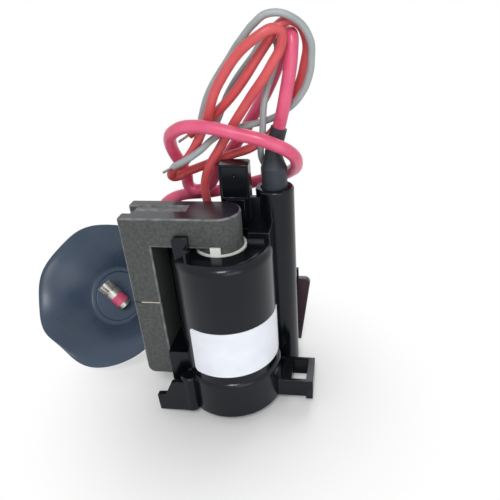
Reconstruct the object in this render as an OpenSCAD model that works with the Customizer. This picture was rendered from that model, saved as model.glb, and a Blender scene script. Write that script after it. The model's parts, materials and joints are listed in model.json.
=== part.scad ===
// Flyback transformer of a picture-tube set, in millimetres, +Z up.
// The origin is the centre of the round body on the plane of the circuit board.
// The core and the body stand along X, the control block is at +Y.

/* [Body] */
// Outer diameter of the round potted body
body_d = 36.6; // [34:0.2:38]
// Height of the body above the board
body_h = 66; // [64:0.5:68]
// Thickness of the moulded walls
wall = 1.8; // [1.4:0.1:2.2]
// How far the collar at the foot stands out from the body
collar_out = 0.9; // [0.6:0.1:1.4]
// Height of the collar
collar_h = 16.6; // [14:0.2:18]

/* [High voltage tube] */
// Outer diameter of the tube that the anode lead leaves
tube_d = 14.4; // [13:0.2:15]
// Height of the tube's lip
tube_top = 81; // [78:0.5:84]
// Lean of the sleeve on the anode lead, in degrees
sleeve_lean = 16; // [0:1:18]

/* [Core] */
// Diameter of the core's round leg
leg_d = 16; // [15:0.2:16.4]
// Height of the closed core
core_h = 68.4; // [66:0.2:70]
// Thickness of the core's two limbs
limb_h = 11; // [10:0.2:11.2]
// Width of the core's outer leg
outer_leg_w = 10.4; // [9:0.2:11]
// Air gap that the spacers keep open
air_gap = 0.4; // [0.2:0.1:0.8]

/* [Label] */
// Height of the label
label_h = 19.8; // [16:0.2:21]
// Angle that the label covers round the body
label_arc = 136; // [100:1:145]

/* [Controls] */
// Diameter of the two control knobs
knob_d = 12; // [9:0.5:14]
// How far the knobs stand out from the rear cover
knob_h = 4.5; // [3:0.5:7]
// Diameter of the knob shafts
shaft_d = 5; // [4:0.2:6]

/* [Terminals] */
// Diameter of a terminal pin
pin_d = 1; // [0.8:0.1:1.2]
// Length of the pins below the board plane
pin_len = 4; // [3:0.5:5]
// Number of terminal pins
pin_count = 10; // [6:1:10]

/* [Leads] */
// Diameter of the anode lead
anode_lead_d = 4.6; // [4:0.1:4.8]
// Diameter of the focus lead
focus_lead_d = 3.3; // [2.8:0.1:3.4]
// Diameter of the screen lead
screen_lead_d = 2.4; // [2:0.1:2.5]
// Outer diameter of the anode cap
cap_d = 64; // [58:0.5:66]

/* [Hidden] */
$fn = 64;

// Fits and cuts: gap of pieces that are put together, clearance of a turning shaft,
// how far a cut runs past a face, overlap of forms that are one piece
slip = 0.3;
run_fit = 0.05;
over = 1;
eps = 0.01;

// Round body
body_r = body_d / 2;
bore_r = body_r - wall;
collar_r = body_r + collar_out;
edge_r = 3;
shoulder_r = 2.2;
roof_t = 3;

// Core, which hangs from the top of the body
leg_r = leg_d / 2;
limb_rise = 2.4;
core_z1 = body_h + limb_rise + limb_h;
core_z0 = core_z1 - core_h;
core_mid = core_z0 + core_h / 2;
outer_x0 = -33.6;
outer_x1 = outer_x0 + outer_leg_w;
corner_r = 3;
groove_w = 6.4;
groove_t = 3;
seat_x1 = -11.5;
seat_y0 = -1.2;
seat_y1 = 3.2;
seat_t = 0.6;
core_gap = 0.5;
slot_half = leg_r + core_gap;
spacer_in = 0.4;

// Tube of the anode lead
tube_r = tube_d / 2;
tube_out = 0.15;
tube_dist = body_r + tube_r + tube_out;
tube_turn = 47;
tube_x = tube_dist * cos(tube_turn);
tube_y = tube_dist * sin(tube_turn);
socket_r = tube_r - wall - slip;
socket_d = 13;
socket_z = tube_top - socket_d;
lip_r = 1;

// Control box behind the body
box_x0 = -26.5;
box_x1 = 22;
box_y0 = 12;
box_wall = 2;
chamber_y0 = body_r + box_wall;
chamber_depth = 10.7;
box_y1 = chamber_y0 + chamber_depth;
box_low_z = 33.3;
box_rise = 0.5;
box_top_z = body_h + box_rise;
box_step_x = 12;
chamber_x0 = box_x0 + box_wall;
chamber_x1 = box_step_x - box_wall - over;
chamber_z0 = box_wall;
chamber_z1 = box_top_z - box_wall;
web_half = 14;
web_y0 = 8;
web_drop = 4;
latch_out = 2.6;
latch_w = 3;
latch_z0 = 31.5;
latch_z1 = 40;

// Post, link wall and ledge on top
post_x0 = -2;
post_x1 = 9;
post_y0 = 13;
post_y1 = 20;
post_rise = 25;
post_z1 = body_h + post_rise;
post_frame = 0.9;
post_corner_r = 2;
panel_t = 0.6;
dimple_r = 0.8;
dimple_drop = 4.5;
link_rise = 12.5;
link_z1 = body_h + link_rise;
link_in = 0.5;
link_t = 2.5;
link_end = 4;
apron_in = 2;
apron_t = 0.7;
ledge_rise = 4;
ledge_z1 = body_h + ledge_rise;
ledge_x0 = 9;
ledge_in = 1;
ledge_x1 = body_r - ledge_in;
ledge_y0 = 1.5;
ledge_root = 4;
cove_r = 2;
valley_y0 = 5;

// Rear cover, knobs and the parts in the chamber
cover_t = 2.5;
cover_y1 = box_y1 + cover_t;
cover_r = 2.5;
cover_foot_x = 24.8;
cover_out_x = 29.2;
lip_t = 1.5;
lip_d = 2;
knob_x = -12;
knob_edge = 0.8;
knob_slot_w = 1.2;
knob_slot_t = 1.6;
focus_z = 47;
screen_z = 22;
substrate_t = 1.2;
substrate_y1 = chamber_y0 + substrate_t;
substrate_x1 = -0.5;
substrate_rise = 6;
shaft_in = 2.3;
shaft_y0 = substrate_y1 + shaft_in;
wiper_t = 0.8;
wiper_w = 2.4;
wiper_l = 8;
wiper_hub_r = 3;
wiper_tip_r = 0.8;
block_capacitor = [7.5, 8, 17];
capacitor_x = 0.5;
bleeder_r = 2;
bleeder_l = 19;
bleeder_in = 1.5;
bleeder_y = 5;

// Bobbins and windings
bobbin_z0 = core_z0 + limb_h + slip;
rim_rise = 0.3;
bobbin_z1 = body_h + rim_rise;
bobbin_t = 0.9;
bobbin_r0 = leg_r + slip;
bobbin_r1 = bobbin_r0 + bobbin_t;
tab_w = 3.6;
tab_h = 2.8;
tab_t = 0.7;
primary_t = 1.6;
second_t = 1;
second_r0 = bobbin_r1 + primary_t + slip;
second_r1 = second_r0 + second_t;
second_flange_gap = 1;
second_flange_r = bore_r - second_flange_gap;
flange_t = 1.5;
winding_z0 = bobbin_z0 + flange_t;
winding_z1 = body_h - roof_t - 2 * flange_t;
wire_in = 0.5;
slot_count = 8;
slot_rib = 0.8;
slot_pitch = (winding_z1 - winding_z0 - slot_rib) / slot_count;

// Pin carrier, pins and diodes
carrier_h = 5;
carrier_r0 = 9;
carrier_r1 = bore_r - slip / 2;
pin_circle_r = 13.2;
pin_step = 27;
pin_in = 4;
pin_root = 1.6;
diode_r = 1.6;
diode_l = 13;
diode_x0 = -5;
diode_side = 11;
diode_front = 11.4;

// Label
label_z0 = 19.8;
label_t = 0.25;
label_from = -127;
label_corner_r = 2.4;
label_corner_in = 2.2;

// Foot, bracket, channel of the lower limb and core clip
foot_out = 1.24;
foot_dist = collar_r + foot_out;
foot_x = foot_dist * cos(224);
foot_y = foot_dist * sin(224);
foot_r = 3;
foot_edge = 1;
foot_web_end = -8;
foot_web_drop = 3;
gusset_l = 13;
gusset_t = 2.5;
gusset_tip_h = 7.5;
gusset_notch = 3.4;
gusset_rise_x = 6.8;
gusset_top_x = 4.3;
gusset_h = 14.6;
bracket_x0 = 15;
bracket_reach = 13.4;
bracket_x1 = collar_r + bracket_reach;
bracket_y0 = -5.6;
bracket_y1 = 9;
bracket_h = 8;
bracket_wall = 1.5;
bracket_end_t = 2.8;
bracket_block_reach = 4.4;
bracket_block_x = collar_r + bracket_block_reach;
bracket_block_h = 5.5;
hook_out = 1.3;
hook_tip = 1.6;
hook_h = 3.4;
channel_gap = 0.4;
channel_x1 = -10;
channel_roof_t = 1.5;
clip_x0 = -14.7;
clip_x1 = -9;
clip_t = 1.9;
clip_y1 = -leg_r - slip;
clip_y0 = clip_y1 - clip_t;
clip_rise = 7.5;
clip_z1 = body_h + clip_rise;
clip_r = 1.6;
clip_root = 4;
clip_rib_l = 3.3;
clip_rib_t = 1;
clip_rib_drop = 3;

// Boot, sleeve and glands
boot_r = socket_r - slip;
boot_rise = 13;
boot_top = tube_top + boot_rise;
boot_h = boot_top - socket_z;
taper_h = 5.6;
taper_edge = 1.2;
taper_in = 0.5;
neck_h = 1.4;
neck_r = 3.3;
sleeve_r = 2.95;
sleeve_l = 9;
gland_h = 3;
gland_t = 1;
gland_edge = 0.6;
focus_exit = [-9, 20, box_top_z];
screen_exit = [9, 26, box_top_z];
tip_l = 5;
tip_r = 0.5;

// Anode cap, in its own frame with +Z out of the cup
cap_r = cap_d / 2;
cap_x1 = -30.5;
cap_at = [cap_x1 - cap_r, 21, 28.5];
cap_turn = 4;
cap_tilt = 53;
cap_depth = 15;
cap_t = 1.8;
cap_edge_t = 0.7;
cap_bell = 1.5;
cap_steps = 6;
hub_r = 9;
hub_taper = 2;
hub_h = 9;
ring_r = 12.6;
ring_w = 1.2;
ring_h = 0.8;
stem_turn = 58;
stem_r = 4;
stem_l = 16;

// Lead end and clip inside the cap, along one slanted axis
end_turn = 136;
end_rise = 25;
end_way = [cos(end_turn) * cos(end_rise), sin(end_turn) * cos(end_rise), sin(end_rise)];
end_at = [0.8, -0.6, 3 - cap_depth];
end_r = 3.3;
band_r = 3;
crimp_r = 3.5;
crimp_core_r = 1.3;
band_from = -5.6;
band_to = -3.6;
crimp_from = 0.9;
crimp_to = 3.4;
crown_to = 8.4;
crown_r0 = 3;
crown_r1 = 3.6;
crown_t = 0.7;
crown_slot_w = 1.1;
crown_slots = 3;

// Routes of the three leads, each from its exit to its far end
lead_start = [tube_x + sleeve_l * sin(sleeve_lean), tube_y, boot_top + sleeve_l * cos(sleeve_lean)];
anode_route = [lead_start, [22.5, 18, 112.5], [25, 19.5, 128], [24.5, 22, 132.5], [22, 25, 130.5],
  [19, 27, 121.5], [9, 28, 104], [-5.5, 26, 84.5], [-11, 25, 77.5], [-16.5, 25, 77.5], [-17.5, 24, 84],
  [-19.5, 17, 98.5], [-15.5, 12.5, 103.5], [-9, 10.5, 105.5], [8.5, 8.5, 103], [17.5, 8.5, 100.5],
  [24, 11, 96.5], [26, 17, 91], [22, 27, 83.5], [13.5, 31, 79.5], [-9, 31.5, 73.5], [-26, 31, 71],
  [-34, 34, 64], [-40, 42, 54], [-46, 47, 42]];
focus_route = [focus_exit + [0, 0, gland_h], [-8.2, 17.5, 84], [0, 15.5, 98], [11, 14.5, 113.5],
  [18.5, 15, 123.5], [22.5, 15.5, 131.5], [21.5, 14, 134.5], [15.5, 11.5, 133], [1.5, 12.5, 119],
  [-5, 14, 105.5], [-13, 14, 93], [-19.5, 14.5, 88], [-20, 17, 85], [-14.5, 19.5, 86.5],
  [2.5, 21, 92.5], [9.5, 21, 95], [18, 24.5, 101], [21.5, 26.5, 107.5], [26, 26, 114.5],
  [28.5, 25, 121.5], [29.5, 23.5, 131], [25.5, 20.5, 136.5], [21.5, 18.5, 135.5], [17, 18, 130],
  [4, 17.5, 113.5], [-8.5, 18.5, 103], [-12.5, 18.5, 100.5]];
screen_route = [screen_exit + [0, 0, gland_h], [13.4, 25.5, 84], [12.8, 20, 93], [14, 18.4, 100],
  [15.5, 19.5, 113], [18, 20, 120], [20, 21.5, 126.5], [19.5, 21.5, 130.5], [17, 21.5, 131],
  [11.5, 21.5, 125.5], [3, 21, 115], [-2.5, 21, 104.5], [-4.5, 21.5, 101.5], [-8, 22, 102],
  [-7.5, 22, 108], [5, 19.5, 127], [10, 16.5, 132.5], [13.5, 16, 136], [18.5, 15.5, 139],
  [26, 16.5, 137.5], [31, 18, 131.5], [31.5, 19.5, 125], [30.5, 20, 119], [27.5, 21, 113],
  [22.5, 22.5, 108], [15, 23.5, 104], [8.5, 21, 103], [1, 19, 101.5], [-3.5, 15.5, 99.5],
  [-7, 11, 97], [-11, 10, 94.5], [-17.5, 11, 91]];

// Sweep of a round cord: a ring of points across the way at each place of the route
function unit(v) = v / norm(v);
function way_in(p, i) = unit(p[max(i, 1)] - p[max(i, 1) - 1]);
function way_out(p, i) = unit(p[min(i, len(p) - 2) + 1] - p[min(i, len(p) - 2)]);
function along(p, i) = unit(way_in(p, i) + way_out(p, i));
function ring_at(p, i, r, n) =
  let (t = along(p, i), u = unit(cross(t, [0, 1, 0.05])), v = cross(t, u))
  [for (k = [0 : n - 1]) p[i] + r * (cos(360 * k / n) * u + sin(360 * k / n) * v)];
function ring_points(p, r, n) = [for (i = [0 : len(p) - 1]) each ring_at(p, i, r, n)];
function side_faces(m, n) = [for (i = [0 : m - 2], k = [0 : n - 1]) each [
  [i * n + k, i * n + (k + 1) % n, (i + 1) * n + (k + 1) % n],
  [i * n + k, (i + 1) * n + (k + 1) % n, (i + 1) * n + k]]];
function end_faces(m, n) = [[for (k = [0 : n - 1]) n - 1 - k], [for (k = [0 : n - 1]) (m - 1) * n + k]];

// A plain round cord swept along a list of points.
module cord(route, d, sides) {
  polyhedron(
    points = ring_points(route, d / 2, sides),
    faces = concat(side_faces(len(route), sides), end_faces(len(route), sides)));
}

// A round rod from one point to another.
module rod(from, to, r) {
  v = to - from;
  translate(from)
    rotate([0, acos(v[2] / norm(v)), atan2(v[1], v[0])])
      cylinder(r = r, h = norm(v));
}

// A block between two opposite corners.
module block(a, b) {
  translate(a)
    cube(b - a);
}

// A turned solid with one rounded upper edge.
module turned(r, h, edge) {
  rotate_extrude()
    intersection() {
      union() {
        square([r, h - edge]);
        square([r - edge, h]);
        translate([r - edge, h - edge])
          circle(r = edge);
      }
      square([r + over, h + over]);
    }
}

// A tube with its inner and outer radius, between two heights.
module sleeve(r0, r1, z0, z1) {
  translate([0, 0, z0])
    difference() {
      cylinder(r = r1, h = z1 - z0);
      translate([0, 0, -over])
        cylinder(r = r0, h = z1 - z0 + 2 * over);
    }
}

// Case: one black moulding with the round body, tube, control box and feet.
module body_solid() {
  turned(body_r, body_h, edge_r);
  turned(collar_r, collar_h, shoulder_r);
}

module tube_solid() {
  translate([tube_x, tube_y, 0])
    turned(tube_r, tube_top, lip_r);
  valley_web();
}

// Web in the valley between the body and the tube.
module valley_web() {
  block([ledge_x0, valley_y0, 0], [ledge_x1, tube_y - link_end, ledge_z1]);
}

module box_solid() {
  block([box_x0, box_y0, 0], [box_step_x, box_y1, box_top_z]);
  block([box_step_x - eps, box_y0, 0], [box_x1, box_y1, box_low_z]);
  // web that joins the box to the round body
  block([-web_half, web_y0, 0], [web_half, box_y0 + over, body_h - web_drop]);
  // latch of the rear cover
  block([box_x1 - eps, box_y1 - latch_w, latch_z0], [box_x1 + latch_out, box_y1 - eps, box_low_z]);
  block([box_x1, box_y1 - latch_w, latch_z0], [box_x1 + latch_out, box_y1 - latch_w / 2, latch_z1]);
}

module post_solid() {
  root_z = box_top_z - over;
  difference() {
    union() {
      block([post_x0, post_y0, root_z], [post_x1 - post_corner_r, post_y1, post_z1]);
      block([post_x0, post_y0, root_z], [post_x1, post_y1 - post_corner_r, post_z1]);
      translate([post_x1 - post_corner_r, post_y1 - post_corner_r, root_z])
        cylinder(r = post_corner_r, h = post_z1 - root_z);
    }
    // sunken panel in the front face, with its dimple
    block([post_x0 + post_frame, post_y0 - over, link_z1],
      [post_x1 - post_frame, post_y0 + panel_t, post_z1 - post_frame]);
    translate([(post_x0 + post_x1) / 2, post_y0 + panel_t, post_z1 - dimple_drop])
      sphere(r = dimple_r);
  }
  // apron under the panel, and the wall from the post to the tube
  block([post_x0 + apron_in, post_y0 - apron_t, root_z],
    [post_x1 - apron_in, post_y0 + over, link_z1 - link_in]);
  block([post_x1 - over, post_y0 + link_in, root_z],
    [tube_x - link_end, post_y0 + link_in + link_t, link_z1]);
}

// Ledge beside the core's round end, with a cove along its foot.
module ledge_solid() {
  block([ledge_x0, ledge_y0, body_h - ledge_root], [ledge_x1, box_y0 + wall, ledge_z1]);
  difference() {
    block([ledge_x0, ledge_y0 - cove_r, body_h - ledge_root],
      [body_r - edge_r, ledge_y0 + eps, body_h + cove_r]);
    translate([ledge_x0 - over, ledge_y0 - cove_r, body_h + cove_r])
      rotate([0, 90, 0])
        cylinder(r = cove_r, h = body_r);
  }
}

module foot_solid() {
  translate([foot_x, foot_y, 0])
    turned(foot_r, collar_h - slip, foot_edge);
  block([foot_x, foot_y, 0], [foot_web_end, foot_web_end, collar_h - foot_web_drop]);
  // gusset at the left, notched towards the core
  translate([foot_x, foot_y - slip, 0])
    rotate([90, 0, 0])
      linear_extrude(gusset_t)
        polygon([[0, 0], [slip - gusset_l, 0], [-gusset_l, gusset_tip_h],
          [gusset_notch - gusset_l, gusset_tip_h + slip], [-gusset_rise_x, gusset_h - over],
          [-gusset_top_x, gusset_h], [0, gusset_h]]);
}

// Walls beside the lower limb, with a roof over it.
module channel_solid() {
  outer_y = slot_half + wall;
  for (side = [0, 1])
    mirror([0, side, 0])
      block([outer_x1 + channel_gap, slot_half, 0], [channel_x1, outer_y, bobbin_z0]);
  block([outer_x1 + channel_gap, -outer_y, bobbin_z0 - eps],
    [channel_x1, outer_y, bobbin_z0 + channel_roof_t]);
}

// Clip that holds the upper limb at the front, with its rib.
module clip_solid() {
  root_z = body_h - clip_root;
  block([clip_x0, clip_y0, root_z], [clip_x1, clip_y1, clip_z1 - clip_r]);
  block([clip_x0 + clip_r, clip_y0, root_z], [clip_x1, clip_y1, clip_z1]);
  translate([clip_x0 + clip_r, clip_y0, clip_z1 - clip_r])
    rotate([-90, 0, 0])
      cylinder(r = clip_r, h = clip_t);
  block([clip_x1 - clip_rib_t, clip_y0 - clip_rib_l, root_z],
    [clip_x1, clip_y1, clip_z1 - clip_rib_drop]);
}

module case() {
  color([0.09, 0.09, 0.11])
    difference() {
      union() {
        body_solid();
        tube_solid();
        box_solid();
        post_solid();
        ledge_solid();
        foot_solid();
        channel_solid();
        clip_solid();
      }
      // potting bore and the hole for the bobbin
      translate([0, 0, -over])
        cylinder(r = bore_r, h = body_h - roof_t + over);
      translate([0, 0, body_h - roof_t - over])
        cylinder(r = bobbin_r1 + slip, h = core_h);
      // way in for the lower core, open below
      block([outer_x0, -slot_half, -over], [0, slot_half, bobbin_z0]);
      // socket of the anode lead
      translate([tube_x, tube_y, socket_z])
        cylinder(r = socket_r, h = tube_top);
      // chamber of the control parts, closed by the rear cover
      block([chamber_x0, chamber_y0, chamber_z0], [chamber_x1, box_y1 + over, chamber_z1]);
    }
}

// Open bracket at the right of the collar, with a hooked foot on its end wall.
module side_bracket() {
  color([0.09, 0.09, 0.11])
    difference() {
      union() {
        bracket_walls();
        translate([bracket_x1 - bracket_end_t, bracket_y0 + eps, 0])
          rotate([90, 0, 90])
            linear_extrude(bracket_end_t)
              polygon([[0, 0], [-hook_out, 0], [-hook_out, hook_tip], [0, hook_h]]);
      }
      // seat on the collar and on the web beside the tube
      translate([0, 0, -over])
        cylinder(r = collar_r, h = bracket_h + 2 * over);
      translate([0, 0, -over])
        valley_web();
    }
}

module bracket_walls() {
  inner_y0 = bracket_y0 + bracket_wall;
  inner_y1 = bracket_y1 - bracket_wall;
  difference() {
    block([bracket_x0, bracket_y0, 0], [bracket_x1, bracket_y1, bracket_h]);
    block([bracket_x0 - over, inner_y0, -over], [bracket_x1 - bracket_end_t, inner_y1, bracket_h + over]);
  }
  block([bracket_x0, inner_y0 - eps, 0], [bracket_block_x, inner_y1 + eps, bracket_block_h]);
}

module rear_cover() {
  color([0.2, 0.15, 0.18])
    difference() {
      union() {
        translate([0, cover_y1, 0])
          rotate([90, 0, 0])
            linear_extrude(cover_t)
              cover_section();
        cover_lip();
      }
      for (z = [focus_z, screen_z])
        translate([knob_x, box_y1 - over, z])
          rotate([-90, 0, 0])
            cylinder(r = shaft_d / 2 + run_fit, h = cover_t + 2 * over);
    }
}

// Outline of the cover, with its slanted flank at the right.
module cover_section() {
  translate([box_x0, 0])
    square([box_step_x - box_x0, box_top_z]);
  polygon([[box_step_x - over, 0], [cover_foot_x, 0], [cover_out_x, box_low_z - cover_r],
    [cover_out_x - cover_r, box_low_z], [box_step_x - over, box_low_z]]);
  translate([cover_out_x - cover_r, box_low_z - cover_r])
    circle(r = cover_r);
}

// Lip that locates the cover in the chamber.
module cover_lip() {
  difference() {
    block([chamber_x0 + slip, box_y1 - lip_d, chamber_z0 + slip],
      [chamber_x1 - slip, box_y1 + eps, chamber_z1 - slip]);
    block([chamber_x0 + slip + lip_t, box_y1 - lip_d - over, chamber_z0 + slip + lip_t],
      [chamber_x1 - slip - lip_t, box_y1 - eps, chamber_z1 - slip - lip_t]);
  }
}

module label() {
  color([0.92, 0.93, 0.95])
    difference() {
      intersection() {
        sleeve(body_r, body_r + label_t, label_z0, label_z0 + label_h);
        rotate([0, 0, label_from])
          sector(label_arc, 2 * body_r, label_z0 + label_h);
      }
      label_corners(0, label_from);
      label_corners(1, label_from + label_arc);
    }
}

// Cuts that round the two corners at one end of the label.
module label_corners(flip, turn) {
  for (up = [0, 1])
    rotate([0, 0, turn])
      translate([body_r, 0, label_z0 + up * label_h])
        mirror([0, flip, 0])
          mirror([0, 0, up])
            difference() {
              block([-over, -over, -over], [over, label_corner_in, label_corner_in]);
              translate([-2 * over, label_corner_in, label_corner_in])
                rotate([0, 90, 0])
                  cylinder(r = label_corner_r, h = 4 * over);
            }
}

// Wedge of a given angle round the axis, up to a height.
module sector(arc, reach, top) {
  steps = 6;
  linear_extrude(top + over)
    polygon(concat([[0, 0]], [for (k = [0 : steps]) reach * [cos(arc * k / steps), sin(arc * k / steps)]]));
}

// One half of the core in plan: outer leg, limb and round end.
module core_plan() {
  circle(r = leg_r);
  translate([outer_x0, -leg_r])
    square([-outer_x0, leg_d]);
}

module core_legs(z0, z1) {
  translate([0, 0, z0])
    cylinder(r = leg_r, h = z1 - z0);
  block([outer_x0, -leg_r, z0], [outer_x1, leg_r, z1]);
}

// Groove for a clamp, down the outer face of both halves.
module clamp_groove() {
  block([outer_x0 - over, -groove_w / 2, core_z0 - over],
    [outer_x0 + groove_t, groove_w / 2, core_z1 + over]);
}

module upper_core() {
  color([0.34, 0.36, 0.37])
    difference() {
      union() {
        translate([0, 0, core_z1 - limb_h])
          linear_extrude(limb_h)
            core_plan();
        core_legs(core_mid + air_gap / 2, core_z1 - limb_h + eps);
      }
      clamp_groove();
      // shallow seat for a clamp along the top
      block([outer_x0, seat_y0, core_z1 - seat_t], [seat_x1, seat_y1, core_z1 + over]);
    }
}

module lower_core() {
  color([0.34, 0.36, 0.37])
    difference() {
      union() {
        translate([0, 0, core_z0])
          linear_extrude(limb_h)
            core_plan();
        core_legs(core_z0 + limb_h - eps, core_mid - air_gap / 2);
      }
      clamp_groove();
      // rounded outer lower corner
      difference() {
        block([outer_x0 - over, -leg_d, core_z0 - over], [outer_x0 + corner_r, leg_d, core_z0 + corner_r]);
        translate([outer_x0 + corner_r, -leg_d - over, core_z0 + corner_r])
          rotate([-90, 0, 0])
            cylinder(r = corner_r, h = 2 * (leg_d + over));
      }
    }
}

module gap_spacers() {
  color([0.85, 0.83, 0.74])
    translate([0, 0, core_mid - air_gap / 2]) {
      cylinder(r = leg_r - spacer_in, h = air_gap);
      block([outer_x0 + groove_t, -leg_r, 0], [outer_x1 - spacer_in, leg_r, air_gap]);
    }
}

module primary_bobbin() {
  color([0.93, 0.93, 0.9]) {
    sleeve(bobbin_r0, bobbin_r1, bobbin_z0, bobbin_z1);
    sleeve(bobbin_r1 - eps, second_flange_r, bobbin_z0, winding_z0);
    // tab on the rim, in front of the limb
    block([-tab_w / 2, -bobbin_r0 - tab_t, bobbin_z1 - over], [tab_w / 2, -bobbin_r0, bobbin_z1 + tab_h]);
  }
}

module primary_winding() {
  color([0.72, 0.42, 0.2])
    sleeve(bobbin_r1, bobbin_r1 + primary_t, winding_z0, winding_z1);
}

module secondary_bobbin() {
  color([0.86, 0.84, 0.76]) {
    sleeve(second_r0, second_r1, winding_z0, winding_z1);
    for (k = [0 : slot_count]) {
      rib_z = winding_z0 + k * slot_pitch;
      sleeve(second_r1 - eps, second_flange_r, rib_z, rib_z + slot_rib);
    }
  }
}

module secondary_winding() {
  color([0.6, 0.3, 0.14])
    for (k = [0 : slot_count - 1]) {
      rib_z = winding_z0 + k * slot_pitch;
      sleeve(second_r1, second_flange_r - wire_in, rib_z + slot_rib, rib_z + slot_pitch);
    }
}

module resin_fill() {
  color([0.1, 0.1, 0.1])
    sleeve(second_flange_r, bore_r, bobbin_z0, body_h - roof_t);
}

module at_pins() {
  for (k = [0 : pin_count - 1])
    rotate([0, 0, (k - (pin_count - 1) / 2) * pin_step])
      translate([pin_circle_r, 0, 0])
        children();
}

// Square root of a pin, from a height up to the end of its seat.
module pin_root_block(z0) {
  block([-pin_root / 2, -pin_root / 2, z0], [pin_root / 2, pin_root / 2, pin_in]);
}

module pin_carrier() {
  color([0.12, 0.12, 0.12])
    difference() {
      sleeve(carrier_r0, carrier_r1, 0, carrier_h);
      block([outer_x0, -slot_half, -over], [0, slot_half, carrier_h + over]);
      at_pins()
        pin_root_block(-over);
    }
}

// Round pins with a square root that is moulded into the carrier.
module terminal_pins() {
  color([0.8, 0.8, 0.78])
    at_pins() {
      translate([0, 0, -pin_len])
        cylinder(r = pin_d / 2, h = pin_len + eps);
      pin_root_block(0);
    }
}

module hv_diodes() {
  color([0.1, 0.1, 0.12])
    translate([0, 0, carrier_h + diode_r]) {
      for (y = [-diode_side, diode_side])
        translate([diode_x0, y, 0])
          rotate([0, 90, 0])
            cylinder(r = diode_r, h = diode_l);
      translate([diode_front, -diode_l / 2, 0])
        rotate([-90, 0, 0])
          cylinder(r = diode_r, h = diode_l);
    }
}

module hv_capacitor() {
  color([0.15, 0.25, 0.45])
    translate([capacitor_x, chamber_y0, chamber_z0])
      cube(block_capacitor);
}

module bleeder_resistor() {
  color([0.25, 0.35, 0.3])
    translate([chamber_x0 + bleeder_in, chamber_y0 + bleeder_y, chamber_z0 + bleeder_r])
      rotate([0, 90, 0])
        cylinder(r = bleeder_r, h = bleeder_l);
}

module control_substrate() {
  color([0.9, 0.9, 0.86])
    block([chamber_x0 + slip, chamber_y0, chamber_z0 + substrate_rise],
      [substrate_x1, substrate_y1, chamber_z1 - slip]);
}

// Knob with its shaft through the rear cover, and a driver slot.
module control_knob(z) {
  shaft_l = cover_y1 + slip - shaft_y0;
  color([0.14, 0.14, 0.15])
    translate([knob_x, cover_y1 + slip, z])
      rotate([-90, 0, 0]) {
        difference() {
          turned(knob_d / 2, knob_h, knob_edge);
          block([-knob_slot_w / 2, -knob_d, knob_h - knob_slot_t],
            [knob_slot_w / 2, knob_d, knob_h + over]);
        }
        translate([0, 0, -shaft_l])
          cylinder(r = shaft_d / 2, h = shaft_l + eps);
      }
}

// Spring contact on the end of a knob's shaft.
module wiper(z) {
  color([0.8, 0.7, 0.45])
    translate([knob_x, shaft_y0 - wiper_t, z]) {
      rotate([-90, 0, 0])
        cylinder(r = wiper_hub_r, h = wiper_t);
      block([-wiper_w / 2, 0, 0], [wiper_w / 2, wiper_t, wiper_l]);
      translate([0, wiper_tip_r + slip - shaft_in + wiper_t, wiper_l - over])
        sphere(r = wiper_tip_r);
    }
}

module focus_knob() {
  control_knob(focus_z);
}

module screen_knob() {
  control_knob(screen_z);
}

module focus_wiper() {
  wiper(focus_z);
}

module screen_wiper() {
  wiper(screen_z);
}

// Rubber boot in the tube's socket, tapering up to the sleeve.
module lead_boot() {
  color([0.22, 0.24, 0.26])
    translate([tube_x, tube_y, socket_z])
      rotate_extrude()
        polygon([[0, 0], [boot_r, 0], [boot_r, boot_h - taper_h],
          [boot_r - taper_in, boot_h - taper_h + taper_edge], [neck_r, boot_h - neck_h],
          [sleeve_r, boot_h], [0, boot_h]]);
}

module lead_sleeve() {
  color([0.2, 0.22, 0.24])
    difference() {
      translate([tube_x, tube_y, boot_top])
        rotate([0, sleeve_lean, 0])
          translate([0, 0, -over])
            cylinder(r = sleeve_r, h = sleeve_l + over);
      // face that stands on the boot
      translate([tube_x, tube_y, boot_top - sleeve_r])
        cylinder(r = tube_r, h = sleeve_r);
    }
}

module focus_gland() {
  color([0.12, 0.12, 0.13])
    translate(focus_exit)
      turned(focus_lead_d / 2 + gland_t, gland_h, gland_edge);
}

module screen_gland() {
  color([0.12, 0.12, 0.13])
    translate(screen_exit)
      turned(screen_lead_d / 2 + gland_t, gland_h, gland_edge);
}

module anode_lead() {
  color([0.9, 0.35, 0.5])
    cord(concat(anode_route, [stem_end]), anode_lead_d, 10);
}

module focus_lead() {
  color([0.84, 0.35, 0.36])
    cord(focus_route, focus_lead_d, 8);
}

module screen_lead() {
  color([0.62, 0.65, 0.67])
    cord(screen_route, screen_lead_d, 8);
}

// Tinned wire at the free end of a lead, in line with its last stretch.
module lead_tip(route) {
  last = route[len(route) - 1];
  color([0.7, 0.7, 0.7])
    rod(last, last + tip_l * way_in(route, len(route) - 1), tip_r);
}

module focus_lead_tip() {
  lead_tip(focus_route);
}

module screen_lead_tip() {
  lead_tip(screen_route);
}

// The cap's own frame: +Z looks out of the cup.
module at_cap() {
  translate(cap_at)
    rotate([0, 0, -cap_turn])
      rotate([cap_tilt, 0, 0])
        children();
}

function turn_z(v, a) = [v[0] * cos(a) - v[1] * sin(a), v[0] * sin(a) + v[1] * cos(a), v[2]];
function turn_x(v, a) = [v[0], v[1] * cos(a) - v[2] * sin(a), v[1] * sin(a) + v[2] * cos(a)];
stem_tip = [stem_l * cos(stem_turn), stem_l * sin(stem_turn), -cap_depth - hub_h / 2];
stem_end = cap_at + turn_z(turn_x(stem_tip, cap_tilt), -cap_turn);

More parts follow.
